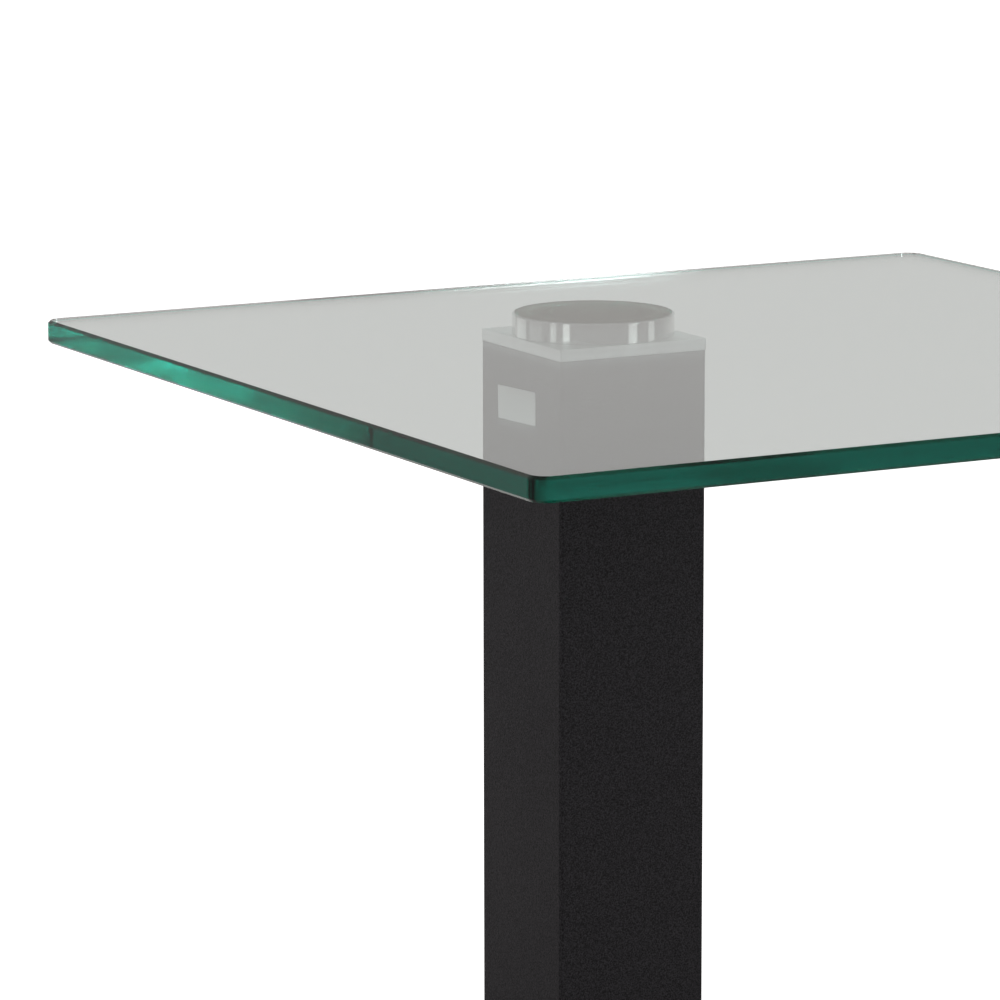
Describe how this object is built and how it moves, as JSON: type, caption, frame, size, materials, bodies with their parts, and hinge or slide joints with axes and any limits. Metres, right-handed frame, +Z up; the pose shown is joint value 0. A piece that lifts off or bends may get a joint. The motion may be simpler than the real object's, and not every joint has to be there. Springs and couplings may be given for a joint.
{
  "type": "display plinth",
  "caption": "Square clear glass top bonded to a steel disc on one square black post near its rear edge, with a square steel base on levelling feet.",
  "frame": {"origin": "on the floor, under the middle of the square glass top and of the base", "axes": "+Z up; +Y towards the rear edge of the glass, which the post stands near; +X to the right seen from the front"},
  "size_m": [0.45, 0.45, 0.75],
  "materials": {
    "clear_glass": "clear float glass with ground and polished green edges",
    "clear_adhesive": "cured clear adhesive",
    "turned_steel": "fine turned stainless steel",
    "brushed_steel": "bare brushed stainless steel",
    "zinc_plated_steel": "zinc plated",
    "milled_aluminium": "milled",
    "black_powder_coat": "matte fine-grained powder coat on steel",
    "label_paper": "blank matte sticker",
    "black_nylon": "moulded nylon",
    "black_rubber": "non-slip rubber"
  },
  "bodies": {
    "pedestal": {"glass_top": "clear_glass", "bond_film": "clear_adhesive", "glass_boss": "turned_steel", "boss_dowel": "zinc_plated_steel", "cap_plate": "brushed_steel", "top_spigot": "milled_aluminium", "spigot_screw_1": "zinc_plated_steel", "spigot_screw_2": "zinc_plated_steel", "spigot_screw_3": "zinc_plated_steel", "spigot_screw_4": "zinc_plated_steel", "post_tube": "black_powder_coat", "label": "label_paper", "bottom_spigot": "milled_aluminium", "base_screw_1": "zinc_plated_steel", "base_screw_2": "zinc_plated_steel", "base_screw_3": "zinc_plated_steel", "base_screw_4": "zinc_plated_steel", "base_plate": "black_powder_coat", "tie_rod": "zinc_plated_steel", "tie_washer": "zinc_plated_steel", "tie_spring_washer": "zinc_plated_steel", "tie_nut": "zinc_plated_steel", "foot_locknut_1": "zinc_plated_steel", "foot_locknut_2": "zinc_plated_steel", "foot_locknut_3": "zinc_plated_steel", "foot_locknut_4": "zinc_plated_steel"},
    "foot_1": {"foot_pad_1": "black_nylon", "foot_sole_1": "black_rubber"},
    "stud_1": {"foot_stud_1": "zinc_plated_steel"},
    "foot_2": {"foot_pad_2": "black_nylon", "foot_sole_2": "black_rubber"},
    "stud_2": {"foot_stud_2": "zinc_plated_steel"},
    "foot_3": {"foot_pad_3": "black_nylon", "foot_sole_3": "black_rubber"},
    "stud_3": {"foot_stud_3": "zinc_plated_steel"},
    "foot_4": {"foot_pad_4": "black_nylon", "foot_sole_4": "black_rubber"},
    "stud_4": {"foot_stud_4": "zinc_plated_steel"}
  },
  "joints": [
    {"name": "foot_1_height", "type": "slide", "parent": "pedestal", "child": "foot_1", "axis": [0, 0, -1], "range_m": [0, 0.005]},
    {"name": "foot_1_turn", "type": "hinge", "parent": "foot_1", "child": "stud_1", "pos_m": [-0.17, -0.17, 0], "axis": [0, 0, -1], "range_deg": [0, 1440]},
    {"name": "foot_2_height", "type": "slide", "parent": "pedestal", "child": "foot_2", "axis": [0, 0, -1], "range_m": [0, 0.005]},
    {"name": "foot_2_turn", "type": "hinge", "parent": "foot_2", "child": "stud_2", "pos_m": [0.17, -0.17, 0], "axis": [0, 0, -1], "range_deg": [0, 1440]},
    {"name": "foot_3_height", "type": "slide", "parent": "pedestal", "child": "foot_3", "axis": [0, 0, -1], "range_m": [0, 0.005]},
    {"name": "foot_3_turn", "type": "hinge", "parent": "foot_3", "child": "stud_3", "pos_m": [0.17, 0.17, 0], "axis": [0, 0, -1], "range_deg": [0, 1440]},
    {"name": "foot_4_height", "type": "slide", "parent": "pedestal", "child": "foot_4", "axis": [0, 0, -1], "range_m": [0, 0.005]},
    {"name": "foot_4_turn", "type": "hinge", "parent": "foot_4", "child": "stud_4", "pos_m": [-0.17, 0.17, 0], "axis": [0, 0, -1], "range_deg": [0, 1440]}
  ],
  "couplings": [
    {"joint": "foot_1_height", "follows": "foot_1_turn", "m_per_rad": 0.00019894},
    {"joint": "foot_2_height", "follows": "foot_2_turn", "m_per_rad": 0.00019894},
    {"joint": "foot_3_height", "follows": "foot_3_turn", "m_per_rad": 0.00019894},
    {"joint": "foot_4_height", "follows": "foot_4_turn", "m_per_rad": 0.00019894}
  ]
}
